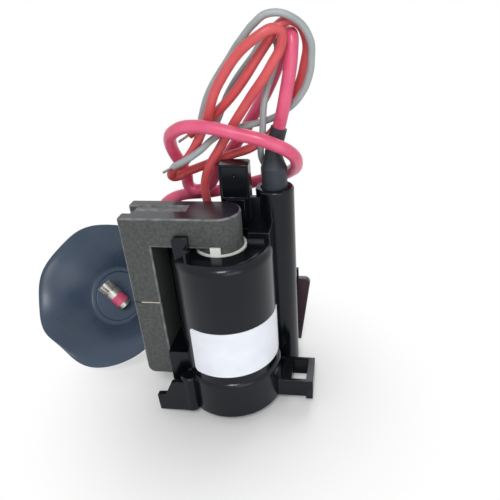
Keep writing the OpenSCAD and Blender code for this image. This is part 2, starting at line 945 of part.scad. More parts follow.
// Bell of the cup: inner face at a share of the way from the ring to the rim, and the wall behind it
function bell_r(t) = ring_r + t * (cap_r - ring_r);
function bell_z(t) = -cap_depth * pow(1 - t, cap_bell);
function bell_wall(t) = cap_t + t * (cap_edge_t - cap_t);
bell_front = [for (k = [0 : cap_steps]) [bell_r(k / cap_steps), bell_z(k / cap_steps)]];
bell_back = [for (k = [cap_steps : -1 : 0])
  [bell_r(k / cap_steps), bell_z(k / cap_steps) - bell_wall(k / cap_steps)]];

module anode_cap() {
  color([0.29, 0.34, 0.4])
    at_cap()
      difference() {
        union() {
          rotate_extrude()
            polygon(concat([[0, -cap_depth]], bell_front, bell_back, [[0, -cap_depth - cap_t]]));
          sleeve(ring_r - ring_w, ring_r, -cap_depth - eps, ring_h - cap_depth);
          // hub behind the cup, with the stem that the lead enters
          translate([0, 0, -cap_depth - hub_h])
            cylinder(r1 = hub_r - hub_taper, r2 = hub_r, h = hub_h);
          translate([0, 0, -cap_depth - hub_h / 2])
            rotate([0, 90, stem_turn])
              cylinder(r = stem_r, h = stem_l);
        }
        // slanted hole that the lead end comes out of
        rod(end_at + band_from * end_way, end_at, crimp_r + slip);
      }
}

// The lead's own insulation between its two metal bands, inside the cap.
module anode_lead_end() {
  color([0.9, 0.35, 0.5])
    at_cap()
      difference() {
        rod(end_at + band_to * end_way, end_at + crimp_from * end_way, end_r);
        rod(end_at + band_from * end_way, end_at + crimp_to * end_way, crimp_core_r);
      }
}

// Sprung metal clip on the lead's end: inner band, crimp and a slotted crown.
module anode_clip() {
  color([0.75, 0.76, 0.78])
    at_cap() {
      rod(end_at + band_from * end_way, end_at + band_to * end_way, band_r);
      rod(end_at + band_from * end_way, end_at + crimp_to * end_way, crimp_core_r);
      rod(end_at + crimp_from * end_way, end_at + crimp_to * end_way, crimp_r);
      translate(end_at + crimp_to * end_way)
        rotate([0, 90 - end_rise, end_turn])
          crown(crown_to - crimp_to);
    }
}

// Flared ring of teeth that grips the anode button.
module crown(h) {
  difference() {
    cylinder(r1 = crown_r0, r2 = crown_r1, h = h);
    translate([0, 0, eps])
      cylinder(r1 = crown_r0 - crown_t, r2 = crown_r1 - crown_t, h = h);
    for (k = [0 : crown_slots - 1])
      rotate([0, 0, k * 180 / crown_slots])
        block([-crown_r1 - over, -crown_slot_w / 2, over], [crown_r1 + over, crown_slot_w / 2, h + over]);
  }
}

case();
side_bracket();
rear_cover();
label();
upper_core();
lower_core();
gap_spacers();
primary_bobbin();
primary_winding();
secondary_bobbin();
secondary_winding();
resin_fill();
pin_carrier();
terminal_pins();
hv_diodes();
hv_capacitor();
bleeder_resistor();
control_substrate();
focus_knob();
focus_wiper();
screen_knob();
screen_wiper();
lead_boot();
lead_sleeve();
focus_gland();
screen_gland();
anode_lead();
focus_lead();
screen_lead();
focus_lead_tip();
screen_lead_tip();
anode_cap();
anode_lead_end();
anode_clip();
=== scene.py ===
# %% [markdown]
# A flyback transformer, dressed for its portrait
#
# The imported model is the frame: every solid is already in its place, in metres.
# The object could be modelled again from nothing, but then it would drift away from
# the solids. So this lesson starts from them: it gives them their finishes, lays the
# three leads as curves, shapes the soft anode cap, softens the hard corners, and sets
# up a plain studio.

import json
import math

import bmesh
import bpy
from mathutils import Matrix, Vector

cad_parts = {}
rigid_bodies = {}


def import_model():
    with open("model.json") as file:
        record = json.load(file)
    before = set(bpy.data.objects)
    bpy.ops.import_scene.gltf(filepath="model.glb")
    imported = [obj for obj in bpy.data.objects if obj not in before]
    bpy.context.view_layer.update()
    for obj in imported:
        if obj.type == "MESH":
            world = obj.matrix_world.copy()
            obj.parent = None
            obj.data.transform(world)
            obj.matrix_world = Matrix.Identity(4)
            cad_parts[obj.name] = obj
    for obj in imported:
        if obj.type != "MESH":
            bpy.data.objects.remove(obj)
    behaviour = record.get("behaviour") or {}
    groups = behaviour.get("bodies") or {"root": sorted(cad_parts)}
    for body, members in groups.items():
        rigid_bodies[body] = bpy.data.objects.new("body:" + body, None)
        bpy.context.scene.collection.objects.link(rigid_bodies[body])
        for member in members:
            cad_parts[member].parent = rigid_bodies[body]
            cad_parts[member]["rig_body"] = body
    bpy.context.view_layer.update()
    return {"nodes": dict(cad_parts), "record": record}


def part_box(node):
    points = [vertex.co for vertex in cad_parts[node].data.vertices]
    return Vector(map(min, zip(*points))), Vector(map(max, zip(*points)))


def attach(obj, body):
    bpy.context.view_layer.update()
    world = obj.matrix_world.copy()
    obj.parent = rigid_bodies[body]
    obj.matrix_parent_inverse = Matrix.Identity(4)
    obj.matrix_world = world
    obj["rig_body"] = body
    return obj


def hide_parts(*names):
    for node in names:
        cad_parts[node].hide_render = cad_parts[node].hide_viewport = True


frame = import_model()
nodes = frame["nodes"]
scene = bpy.context.scene
scene.view_settings.view_transform = "Standard"

# %% [markdown]
# The camera
#
# The photograph was taken from close by, looking down on the front. A camera can be
# moved by eye until the picture seems to fit. Here its place, turn and focal length
# were fitted to places that can be measured in the photograph, such as the rim of the
# body and the edges of the core, because a close camera bends the proportions and the
# eye is a poor judge of that. The picture is 500 pixels square, and the lens axis
# meets it a little right of the middle, so the camera has a shift.

# %% Camera at the photograph's viewing angle
IMAGE_SIDE = 500
FOCAL_PIXELS = 506.6
AXIS_PIXEL = (279.8, 258.3)
SENSOR_WIDTH = 36.0
NEAREST_VIEW = 0.005
CAMERA_PLACE = Vector((0.0432, -0.1562, 0.1500))
CAMERA_YAW = math.radians(-8.15)
CAMERA_PITCH = math.radians(29.47)
CAMERA_ROLL = math.radians(-2.65)


def camera_axes(yaw, pitch, roll):
    """Right, up and forward of a camera that looks along +Y when nothing is turned."""
    forward = Vector((
        math.sin(yaw) * math.cos(pitch),
        math.cos(yaw) * math.cos(pitch),
        -math.sin(pitch),
    ))
    level = Vector((math.cos(yaw), -math.sin(yaw), 0.0))
    above = level.cross(forward)
    right = math.cos(roll) * level + math.sin(roll) * above
    up = math.cos(roll) * above - math.sin(roll) * level
    return right, up, forward


camera_data = bpy.data.cameras.new("photo_camera")
camera_data.sensor_width = SENSOR_WIDTH
camera_data.lens = SENSOR_WIDTH * FOCAL_PIXELS / IMAGE_SIDE
camera_data.shift_x = (IMAGE_SIDE / 2 - AXIS_PIXEL[0]) / IMAGE_SIDE
camera_data.shift_y = (AXIS_PIXEL[1] - IMAGE_SIDE / 2) / IMAGE_SIDE
camera_data.clip_start = NEAREST_VIEW
camera = bpy.data.objects.new("photo_camera", camera_data)
scene.collection.objects.link(camera)
right, up, forward = camera_axes(CAMERA_YAW, CAMERA_PITCH, CAMERA_ROLL)
camera.matrix_world = Matrix((
    (right.x, up.x, -forward.x, CAMERA_PLACE.x),
    (right.y, up.y, -forward.y, CAMERA_PLACE.y),
    (right.z, up.z, -forward.z, CAMERA_PLACE.z),
    (0.0, 0.0, 0.0, 1.0),
))
scene.camera = camera
print("lens:", round(camera_data.lens, 2), "mm")

# %% [markdown]
# Finishes
#
# On the real object each piece is one plain material that handling has made a little
# uneven. Painted or photographed textures could show that, but they need files and UV
# maps. Here each finish is a small procedural material on Object coordinates. A
# constant is set on the shader's own socket. What wanders over the surface, such as
# the dusty black of the moulding or the grain of pressed ferrite, comes from noise:
# one noise moves the colour and the gloss together, a finer one gives the relief.


# %% Colour and noise helpers
def linear(r, g, b):
    """A linear colour from the 0 to 255 values that a picture shows."""
    def channel(v):
        v /= 255
        return v / 12.92 if v <= 0.04045 else ((v + 0.055) / 1.055) ** 2.4

    return (channel(r), channel(g), channel(b), 1.0)


def noise_at(tree, place, scale, detail):
    """A noise texture on Object coordinates, scale in waves per metre."""
    noise = tree.nodes.new("ShaderNodeTexNoise")
    noise.inputs["Scale"].default_value = scale
    noise.inputs["Detail"].default_value = detail
    tree.links.new(place.outputs["Object"], noise.inputs["Vector"])
    return noise.outputs["Fac"]


print("middle grey in linear light:", round(linear(128, 128, 128)[0], 3))

# %% A finish between two colours and two roughnesses
PATCH_DETAIL = 5.0
GRAIN_DETAIL = 3.0
PATCH_COLOUR = (0.35, 0.68)
PATCH_GLOSS = (0.3, 0.7)
RELIEF_DEPTH = 0.0001


def finish_of(name, dark, light, roughness, scale, bump=0.0, grain=8.0, **sockets):
    """A finish from dark to light. Other shader sockets are named with _ for a space."""
    material = bpy.data.materials.new(name)
    material.use_nodes = True
    tree = material.node_tree
    shader = tree.nodes["Principled BSDF"]
    for socket, value in sockets.items():
        shader.inputs[socket.replace("_", " ")].default_value = value
    place = tree.nodes.new("ShaderNodeTexCoord")
    patches = noise_at(tree, place, scale, PATCH_DETAIL)
    colour = tree.nodes.new("ShaderNodeValToRGB")
    for stop, level, shade in zip(colour.color_ramp.elements, PATCH_COLOUR, (dark, light)):
        stop.position = level
        stop.color = linear(*shade)
    gloss = tree.nodes.new("ShaderNodeMapRange")
    for socket, value in zip(("From Min", "From Max", "To Min", "To Max"), PATCH_GLOSS + roughness):
        gloss.inputs[socket].default_value = value
    tree.links.new(patches, colour.inputs["Fac"])
    tree.links.new(patches, gloss.inputs["Value"])
    tree.links.new(colour.outputs["Color"], shader.inputs["Base Color"])
    tree.links.new(gloss.outputs["Result"], shader.inputs["Roughness"])
    if bump:
        relief = tree.nodes.new("ShaderNodeBump")
        relief.inputs["Strength"].default_value = bump
        relief.inputs["Distance"].default_value = RELIEF_DEPTH
        tree.links.new(noise_at(tree, place, scale * grain, GRAIN_DETAIL), relief.inputs["Height"])
        tree.links.new(relief.outputs["Normal"], shader.inputs["Normal"])
    return material


print("relief of a finish:", RELIEF_DEPTH * 1000, "mm at full strength")

# %% [markdown]
# Plastics, rubber and paper
#
# The case is a glossy black moulding that handling has left a little dusty. A plain
# black with full gloss could stand for it, but in a white room that turns grey. So its
# specular level is lowered, and its gloss wanders. The leads are soft plastic, so a
# little light scatters inside them, and the cap is a smooth slate rubber.

# %% Plastics, rubber and paper
case_black = finish_of("case_black", (8, 9, 13), (13, 14, 20), (0.16, 0.26), 70, bump=0.05,
                       Specular_IOR_Level=0.32, Specular_Tint=(0.86, 0.93, 1.0, 1.0))
cover_brown = finish_of("cover_brown", (50, 37, 45), (62, 47, 56), (0.25, 0.35), 70, bump=0.05,
                        Specular_IOR_Level=0.4)
label_white = finish_of("label_white", (229, 233, 243), (236, 239, 247), (0.3, 0.42), 140,
                        bump=0.05)
bobbin_white = finish_of("bobbin_white", (222, 222, 216), (234, 234, 229), (0.35, 0.5), 150)
spacer_cream = finish_of("spacer_cream", (188, 182, 160), (208, 203, 184), (0.6, 0.75), 300)
knob_black = finish_of("knob_black", (26, 26, 29), (34, 34, 37), (0.4, 0.5), 150, bump=0.1)
gland_black = finish_of("gland_black", (20, 20, 22), (28, 28, 30), (0.45, 0.55), 150, bump=0.1)
boot_grey = finish_of("boot_grey", (36, 43, 50), (48, 55, 63), (0.42, 0.55), 120, bump=0.15,
                      Specular_IOR_Level=0.35)
anode_pink = finish_of("anode_pink", (212, 80, 116), (226, 96, 132), (0.26, 0.36), 110, bump=0.04,
                       Subsurface_Weight=0.1, Subsurface_Scale=0.002)
focus_red = finish_of("focus_red", (198, 74, 78), (212, 88, 92), (0.34, 0.46), 110, bump=0.04,
                      Subsurface_Weight=0.08, Subsurface_Scale=0.002)
screen_grey = finish_of("screen_grey", (148, 155, 157), (165, 172, 173), (0.36, 0.48), 110,
                        bump=0.04)
cap_slate = finish_of("cap_slate", (52, 66, 84), (64, 78, 97), (0.24, 0.36), 40, bump=0.06,
                      Specular_IOR_Level=0.35)
resin_black = finish_of("resin_black", (20, 20, 20), (28, 28, 28), (0.12, 0.2), 60)
print("plastics:", [m.name for m in bpy.data.materials])

# %% [markdown]
# Ferrite, metal and ceramics
#
# Ferrite is a pressed black ceramic: matt and grained on its flanks, smoother on the
# lapped top, and paler on its corners, partly from wear and partly as a painted
# highlight along the rounded edge. One material with painted wear and highlights could
# show all three, but three finishes that faces are given in turn are easier to follow.
# The metals are tinned wire, a sprung steel clip and the brass of the hidden contacts.

# %% Ferrite, metal and ceramics
ferrite_flank = finish_of("ferrite_flank", (54, 57, 57), (76, 80, 78), (0.5, 0.66), 900, bump=0.4,
                          grain=3.0)
ferrite_top = finish_of("ferrite_top", (26, 25, 36), (42, 38, 48), (0.16, 0.3), 60, bump=0.12)
# The paler ferrite: wear on the corners and the groove floor, and a painted highlight on the bevelled
# edges.
ferrite_wear_and_highlight = finish_of("ferrite_wear_and_highlight", (80, 83, 84), (124, 127, 128), (0.42, 0.58), 420)
tinned = finish_of("tinned", (168, 168, 165), (186, 186, 182), (0.25, 0.38), 400, bump=0.1,
                   Metallic=1.0)
clip_silver = finish_of("clip_silver", (186, 182, 174), (214, 210, 202), (0.36, 0.5), 300, bump=0.1,
                        Metallic=1.0)
contact_brass = finish_of("contact_brass", (188, 158, 92), (206, 178, 110), (0.25, 0.35), 300,
                          Metallic=1.0)
copper_enamel = finish_of("copper_enamel", (158, 82, 40), (180, 100, 52), (0.25, 0.35), 300,
                          Metallic=0.9)
diode_black = finish_of("diode_black", (26, 26, 29), (34, 34, 38), (0.45, 0.55), 200)
capacitor_blue = finish_of("capacitor_blue", (34, 62, 130), (44, 76, 148), (0.25, 0.35), 150)
resistor_green = finish_of("resistor_green", (76, 98, 82), (88, 110, 94), (0.55, 0.65), 250)
alumina_white = finish_of("alumina_white", (218, 218, 210), (230, 230, 223), (0.55, 0.65), 250)
print("finishes:", len(bpy.data.materials))

# %% [markdown]
# Dressing the solids
#
# Each solid comes from the frame with a plain material of its own. A finish could be
# picked for each by hand in the material tab. One table from solid to finish keeps
# them together, and it has the hidden pieces too, because someone who takes the part
# apart sees those as well.

# %% Give each solid its finish
NODE_FINISH = {
    "case": case_black, "side_bracket": case_black, "rear_cover": cover_brown,
    "label": label_white, "upper_core": ferrite_flank, "lower_core": ferrite_flank,
    "gap_spacers": spacer_cream, "primary_bobbin": bobbin_white, "primary_winding": copper_enamel,
    "secondary_bobbin": bobbin_white, "secondary_winding": copper_enamel,
    "resin_fill": resin_black, "pin_carrier": case_black, "terminal_pins": tinned,
    "hv_diodes": diode_black, "hv_capacitor": capacitor_blue, "bleeder_resistor": resistor_green,
    "control_substrate": alumina_white, "focus_knob": knob_black, "focus_wiper": contact_brass,
    "screen_knob": knob_black, "screen_wiper": contact_brass, "lead_boot": boot_grey,
    "lead_sleeve": boot_grey, "focus_gland": gland_black, "screen_gland": gland_black,
    "anode_lead_end": anode_pink, "anode_clip": clip_silver,
}
for name, finish in NODE_FINISH.items():
    nodes[name].data.materials.clear()
    nodes[name].data.materials.append(finish)
print("dressed solids:", len(NODE_FINISH))

# %% [markdown]
# Routes of the three leads
#
# The leads are stiff high voltage wires that were folded into a bundle over the body.
# A simulation could drop them into a heap, but never into this one. So each follows
# points chosen over the photograph, the same as in the part's own source. The anode
# lead is thick and pink and ends in the cap, the other two end in bare wire.

# %% Routes of the leads, in millimetres
MM = 0.001
anode_points = [
    (19.97, 18.76, 102.65), (22.5, 18, 112.5), (25, 19.5, 128), (24.5, 22, 132.5),
    (22, 25, 130.5), (19, 27, 121.5), (9, 28, 104), (-5.5, 26, 84.5), (-11, 25, 77.5),
    (-16.5, 25, 77.5), (-17.5, 24, 84), (-19.5, 17, 98.5), (-15.5, 12.5, 103.5),
    (-9, 10.5, 105.5), (8.5, 8.5, 103), (17.5, 8.5, 100.5), (24, 11, 96.5), (26, 17, 91),
    (22, 27, 83.5), (13.5, 31, 79.5), (-9, 31.5, 73.5), (-26, 31, 71), (-34, 34, 64),
    (-40, 42, 54), (-46, 47, 42),
]
focus_points = [
    (-9, 20, 69.5), (-8.2, 17.5, 84), (0, 15.5, 98), (11, 14.5, 113.5), (18.5, 15, 123.5),
    (22.5, 15.5, 131.5), (21.5, 14, 134.5), (15.5, 11.5, 133), (1.5, 12.5, 119),
    (-5, 14, 105.5), (-13, 14, 93), (-19.5, 14.5, 88), (-20, 17, 85), (-14.5, 19.5, 86.5),
    (2.5, 21, 92.5), (9.5, 21, 95), (18, 24.5, 101), (21.5, 26.5, 107.5), (26, 26, 114.5),
    (28.5, 25, 121.5), (29.5, 23.5, 131), (25.5, 20.5, 136.5), (21.5, 18.5, 135.5),
    (17, 18, 130), (4, 17.5, 113.5), (-8.5, 18.5, 103), (-12.5, 18.5, 100.5),
]
screen_points = [
    (9, 26, 69.5), (13.4, 25.5, 84), (12.8, 20, 93), (14, 18.4, 100), (15.5, 19.5, 113),
    (18, 20, 120), (20, 21.5, 126.5), (19.5, 21.5, 130.5), (17, 21.5, 131), (11.5, 21.5, 125.5),
    (3, 21, 115), (-2.5, 21, 104.5), (-4.5, 21.5, 101.5), (-8, 22, 102), (-7.5, 22, 108),
    (5, 19.5, 127), (10, 16.5, 132.5), (13.5, 16, 136), (18.5, 15.5, 139), (26, 16.5, 137.5),
    (31, 18, 131.5), (31.5, 19.5, 125), (30.5, 20, 119), (27.5, 21, 113), (22.5, 22.5, 108),
    (15, 23.5, 104), (8.5, 21, 103), (1, 19, 101.5), (-3.5, 15.5, 99.5), (-7, 11, 97),
    (-11, 10, 94.5), (-17.5, 11, 91),
]
print("points:", len(anode_points), len(focus_points), len(screen_points))

# %% [markdown]
# Where the cap lies
#
# The anode cap lies on its side behind the core and looks at the camera. It could be
# modelled there, turned as it is, but a turned shape is far easier upright. So it has
# a frame of its own, whose +Z looks out of the cup. The anode lead ends in the stem,
# which leaves the cap's hub sideways, so this frame comes before the leads.

# %% The cap's frame and the end of its stem
CAP_PLACE = (-0.0625, 0.021, 0.0285)
CAP_TURN = math.radians(-4)
CAP_TILT = math.radians(53)
CAP_RADIUS = 0.032
CAP_DEPTH = 0.015
HUB_RADIUS = 0.009
HUB_HEIGHT = 0.009
STEM_ANGLE = math.radians(58)
STEM_LENGTH = 0.016
cap_turn = Matrix.Rotation(CAP_TURN, 4, "Z") @ Matrix.Rotation(CAP_TILT, 4, "X")
cap_frame = Matrix.Translation(CAP_PLACE) @ cap_turn
hub_middle = Matrix.Translation((0, 0, -CAP_DEPTH - HUB_HEIGHT / 2))
stem_frame = cap_frame @ hub_middle @ Matrix.Rotation(STEM_ANGLE, 4, "Z")
stem_end = stem_frame @ Vector((STEM_LENGTH, 0, 0))
anode_route = [MM * Vector(p) for p in anode_points] + [stem_end]
focus_route = [MM * Vector(p) for p in focus_points]
screen_route = [MM * Vector(p) for p in screen_points]
print("stem ends at", tuple(round(v, 4) for v in stem_end))

# %% [markdown]
# Laying the leads
#
# A lead is a round wire of one thickness. It could be a swept mesh, but a curve with
# a round bevel is smooth from few points, stays easy to bend, and says how long it
# is. Automatic handles let it bend as wire does, without corners.

# %% Lay the leads
ANODE_DIAMETER = 0.0046
FOCUS_DIAMETER = 0.0033
SCREEN_DIAMETER = 0.0024
STEPS_PER_POINT = 12
LEAD_ROUNDNESS = 6


def lead_curve(name, route, diameter, finish):
    """One open round curve through the route's points."""
    data = bpy.data.curves.new(name, "CURVE")
    data.dimensions = "3D"
    data.resolution_u = STEPS_PER_POINT
    data.bevel_depth = diameter / 2
    data.bevel_resolution = LEAD_ROUNDNESS
    data.use_fill_caps = True
    spline = data.splines.new("BEZIER")
    spline.bezier_points.add(len(route) - 1)
    for point, place in zip(spline.bezier_points, route):
        point.co = place
        point.handle_left_type = "AUTO"
        point.handle_right_type = "AUTO"
    data.materials.append(finish)
    lead = bpy.data.objects.new(name, data)
    scene.collection.objects.link(lead)
    return lead


anode_lead = lead_curve("anode_lead_wire", anode_route, ANODE_DIAMETER, anode_pink)
focus_lead = lead_curve("focus_lead_wire", focus_route, FOCUS_DIAMETER, focus_red)
screen_lead = lead_curve("screen_lead_wire", screen_route, SCREEN_DIAMETER, screen_grey)
bpy.context.view_layer.update()

# %% [markdown]
# Tinned strands
#
# Where the two thin leads are stripped, their conductor shows: a few tinned strands
# with a slow twist. They could be drawn one by one, but they repeat round one axis,
# so Geometry Nodes make them: a circle is swept along a spiral into one strand, and
# copies of it are turned in equal steps. The tree ends with real geometry and a
# finish, since an export has no use for instances.

# %% One strand, and its turned copies
SPIRAL_STEPS = 24
STRAND_SIDES = 8


def swept_strand(tree, given):
    """One strand: a circle swept along a spiral."""
    spiral = tree.nodes.new("GeometryNodeCurveSpiral")
    spiral.inputs["Resolution"].default_value = SPIRAL_STEPS
    section = tree.nodes.new("GeometryNodeCurvePrimitiveCircle")
    section.inputs["Resolution"].default_value = STRAND_SIDES
    sweep = tree.nodes.new("GeometryNodeCurveToMesh")
    sweep.inputs["Fill Caps"].default_value = True
    tree.links.new(given.outputs["Turns"], spiral.inputs["Rotations"])
    tree.links.new(given.outputs["Bundle Radius"], spiral.inputs["Start Radius"])
    tree.links.new(given.outputs["Bundle Radius"], spiral.inputs["End Radius"])
    tree.links.new(given.outputs["Length"], spiral.inputs["Height"])
    tree.links.new(given.outputs["Strand Radius"], section.inputs["Radius"])
    tree.links.new(spiral.outputs["Curve"], sweep.inputs["Curve"])
    tree.links.new(section.outputs["Curve"], sweep.inputs["Profile Curve"])
    return sweep.outputs["Mesh"]


def turned_copies(tree, given, strand):
    """Copies of a strand, turned in equal steps round +Z."""
    spots = tree.nodes.new("GeometryNodePoints")
    copies = tree.nodes.new("GeometryNodeInstanceOnPoints")
    index = tree.nodes.new("GeometryNodeInputIndex")
    step = tree.nodes.new("ShaderNodeMath")
    step.operation = "DIVIDE"
    step.inputs[0].default_value = math.tau
    turn = tree.nodes.new("ShaderNodeMath")
    turn.operation = "MULTIPLY"
    rotation = tree.nodes.new("ShaderNodeCombineXYZ")
    tree.links.new(given.outputs["Count"], spots.inputs["Count"])
    tree.links.new(given.outputs["Count"], step.inputs[1])
    tree.links.new(step.outputs[0], turn.inputs[0])
    tree.links.new(index.outputs[0], turn.inputs[1])
    tree.links.new(turn.outputs[0], rotation.inputs["Z"])
    tree.links.new(spots.outputs[0], copies.inputs["Points"])
    tree.links.new(strand, copies.inputs["Instance"])
    tree.links.new(rotation.outputs[0], copies.inputs["Rotation"])
    return copies.outputs["Instances"]


print("strand:", SPIRAL_STEPS, "steps of", STRAND_SIDES, "sides")

# %% A node tree for twisted strands
STRAND_INPUTS = {
    "Count": "Int", "Length": "Float", "Bundle Radius": "Float",
    "Strand Radius": "Float", "Turns": "Float", "Finish": "Material",
}


def strand_tree():
    """A tree that makes a bundle of twisted strands along +Z."""
    tree = bpy.data.node_groups.new("twisted_strands", "GeometryNodeTree")
    tree.is_modifier = True
    tree.interface.new_socket("Geometry", in_out="OUTPUT", socket_type="NodeSocketGeometry")
    for name, kind in STRAND_INPUTS.items():
        tree.interface.new_socket(name, in_out="INPUT", socket_type="NodeSocket" + kind)
    given = tree.nodes.new("NodeGroupInput")
    copies = turned_copies(tree, given, swept_strand(tree, given))
    real = tree.nodes.new("GeometryNodeRealizeInstances")
    dress = tree.nodes.new("GeometryNodeSetMaterial")
    result = tree.nodes.new("NodeGroupOutput")
    tree.links.new(copies, real.inputs["Geometry"])
    tree.links.new(real.outputs["Geometry"], dress.inputs["Geometry"])
    tree.links.new(given.outputs["Finish"], dress.inputs["Material"])
    tree.links.new(dress.outputs["Geometry"], result.inputs["Geometry"])
    return tree


twisted_strands = strand_tree()
print("tree nodes:", len(twisted_strands.nodes))

# %% [markdown]
# Strands at the free ends
#
# The tree makes its strands upright at the origin. Each bundle could be an object
# that is moved and turned to its lead's end. Here its mesh is carried there instead,
# in line with the lead's last stretch, so that every finished object stays at the
# origin as the solids do.

# %% Strands at the two free ends
STRAND_SIZES = {
    "Count": 5, "Length": 0.005, "Bundle Radius": 0.00028, "Strand Radius": 0.00021, "Turns": 0.7,
}


def stripped_end(name, route):
    """The bare conductor at the end of a lead, in line with its last stretch."""
    blank = bpy.data.objects.new(name + "_blank", bpy.data.meshes.new(name + "_blank"))
    scene.collection.objects.link(blank)
    modifier = blank.modifiers.new("strands", "NODES")
    modifier.node_group = twisted_strands
    for item in twisted_strands.interface.items_tree:
        if item.in_out == "INPUT":
            modifier[item.identifier] = STRAND_SIZES.get(item.name, tinned)
    evaluated = blank.evaluated_get(bpy.context.evaluated_depsgraph_get())
    data = bpy.data.meshes.new_from_object(evaluated)
    bpy.data.objects.remove(blank)
    way = (route[-1] - route[-2]).normalized()
    data.transform(Matrix.Translation(route[-1]) @ way.to_track_quat("Z", "Y").to_matrix().to_4x4())
    data.polygons.foreach_set("use_smooth", [True] * len(data.polygons))
    data.polygons.foreach_set("material_index", [0] * len(data.polygons))
    data.materials.clear()
    data.materials.append(tinned)
    data.name = name
    strands = bpy.data.objects.new(name, data)
    scene.collection.objects.link(strands)
    return strands


focus_strands = stripped_end("focus_strands", focus_route)
screen_strands = stripped_end("screen_strands", screen_route)
print("strand faces:", len(focus_strands.data.polygons), len(screen_strands.data.polygons))

# %% [markdown]
# Section of the anode cap
#
# The cap is a rubber suction cup with a low ring on its floor, a thin rim, and a hub
# behind. It could be sculpted, but its section is a simple line that a turning tool
# could follow, so that line comes first. The bell between ring and rim is a power
# curve, and the wall gets thinner towards the rim.

# %% Front and back of the bell
CAP_WALL = 0.0018
CAP_EDGE = 0.0007
BELL_POWER = 1.5
RING_RADIUS = 0.0126
FRONT_STEPS = 20
BACK_STEPS = 12


def bell(share):
    """Radius and front height of the cup, at a share of the way from the ring to the rim."""
    return RING_RADIUS + share * (CAP_RADIUS - RING_RADIUS), -CAP_DEPTH * (1 - share) ** BELL_POWER


def bell_back(share):
    """Radius and back height of the cup, behind the same share of the front."""
    radius, height = bell(share)
    return radius, height - CAP_WALL - share * (CAP_EDGE - CAP_WALL)


front = [bell(k / FRONT_STEPS) for k in range(1, FRONT_STEPS)]
back = [bell_back(k / BACK_STEPS) for k in range(BACK_STEPS - 1, 0, -1)]
print("bell points:", len(front), "in front,", len(back), "behind")

# %% Ring on the floor of the cap
RING_WIDTH = 0.0012
RING_HEIGHT = 0.0008
RING_FOOT = 0.0004
RING_ROUND = 0.0005
INNER_SHOULDER = (0.0002, 0.0004)
OUTER_SHOULDER = (0.0001, 0.0003)
ring_inside = RING_RADIUS - RING_WIDTH
ring_top = RING_HEIGHT - CAP_DEPTH
ring = [
    (ring_inside - RING_FOOT, -CAP_DEPTH), (ring_inside, -CAP_DEPTH),
    (ring_inside + INNER_SHOULDER[0], ring_top - INNER_SHOULDER[1]),
    (ring_inside + RING_ROUND, ring_top), (RING_RADIUS - RING_ROUND, ring_top),
    (RING_RADIUS - OUTER_SHOULDER[0], ring_top - OUTER_SHOULDER[1]),
]
print("ring points:", len(ring))

# %% Rim, hub and the whole section
RIM_ROUND = 0.0003
RIM_DROP = 0.0001
HUB_FLARE = (0.0008, 0.0007)
HUB_TAPER = 0.0017
HUB_ROUND = (0.0007, 0.0006)
floor_back = -CAP_DEPTH - CAP_WALL
hub_end = -CAP_DEPTH - HUB_HEIGHT
end_radius = HUB_RADIUS - HUB_TAPER
rim = [
    (CAP_RADIUS - RIM_ROUND, -RIM_DROP), (CAP_RADIUS, -CAP_EDGE / 2),
    (CAP_RADIUS - RIM_ROUND, -CAP_EDGE),
]
hub = [
    (HUB_RADIUS + HUB_FLARE[0], floor_back), (HUB_RADIUS, floor_back - HUB_FLARE[1]),
    (end_radius, hub_end + HUB_ROUND[1]), (end_radius - HUB_ROUND[0], hub_end),
]
cap_section = [(0.0, -CAP_DEPTH)] + ring + front + rim + back + hub + [(0.0, hub_end)]
print("section points:", len(cap_section))

# %% [markdown]
# A rim that has taken a set
#
# The real rim waves a little and is dented at its lower left, because soft rubber
# keeps the shape in which it was stored. A lattice or a sculpting brush could bend
# the cup. Here each point is moved by a smooth rule of its angle, more towards the
# rim, because a rule is easy to read and gives the same cup each time.

# %% Bend the rim
DENT_ANGLE = math.radians(235)
DENT_SPREAD = math.radians(17)
DENT_DEPTH = 0.09
DENT_LIFT = 0.0025
RIPPLES = [(0.010, 3, 0.6), (0.006, 7, 0.0)]
LIFTS = [(0.0009, 2, 0.4), (0.0005, 7, 0.0)]


def waves(rows, angle):
    """The sum of waves round the rim, each with its size, count and start."""
    return sum(size * math.sin(count * angle + start) for size, count, start in rows)


def cap_point(radius, height, angle):
    """Place of a section point on the cap, with the rim's waves and dent."""
    outward = max(0.0, (radius - RING_RADIUS) / (CAP_RADIUS - RING_RADIUS))
    off_dent = math.atan2(math.sin(angle - DENT_ANGLE), math.cos(angle - DENT_ANGLE))
    dent = math.exp(-((off_dent / DENT_SPREAD) ** 2))
    swell = 1 + outward ** 2 * (waves(RIPPLES, angle) - DENT_DEPTH * dent)
    lift = outward ** 2 * (waves(LIFTS, angle) + DENT_LIFT * dent)
    bent = radius * swell
    return Vector((bent * math.cos(angle), bent * math.sin(angle), height + lift))


print("rim at the dent:", [round(v, 4) for v in cap_point(CAP_RADIUS, 0.0, DENT_ANGLE)])

# %% [markdown]
# Turning the cap
#
# A section becomes a round solid when it is turned about an axis. A Screw modifier
# could do that, but it knows only true circles. So the rings are made point by point,
# each where the rule above puts it, and joined by faces into a closed skin.

# %% Turn the cap
CAP_STEPS = 160


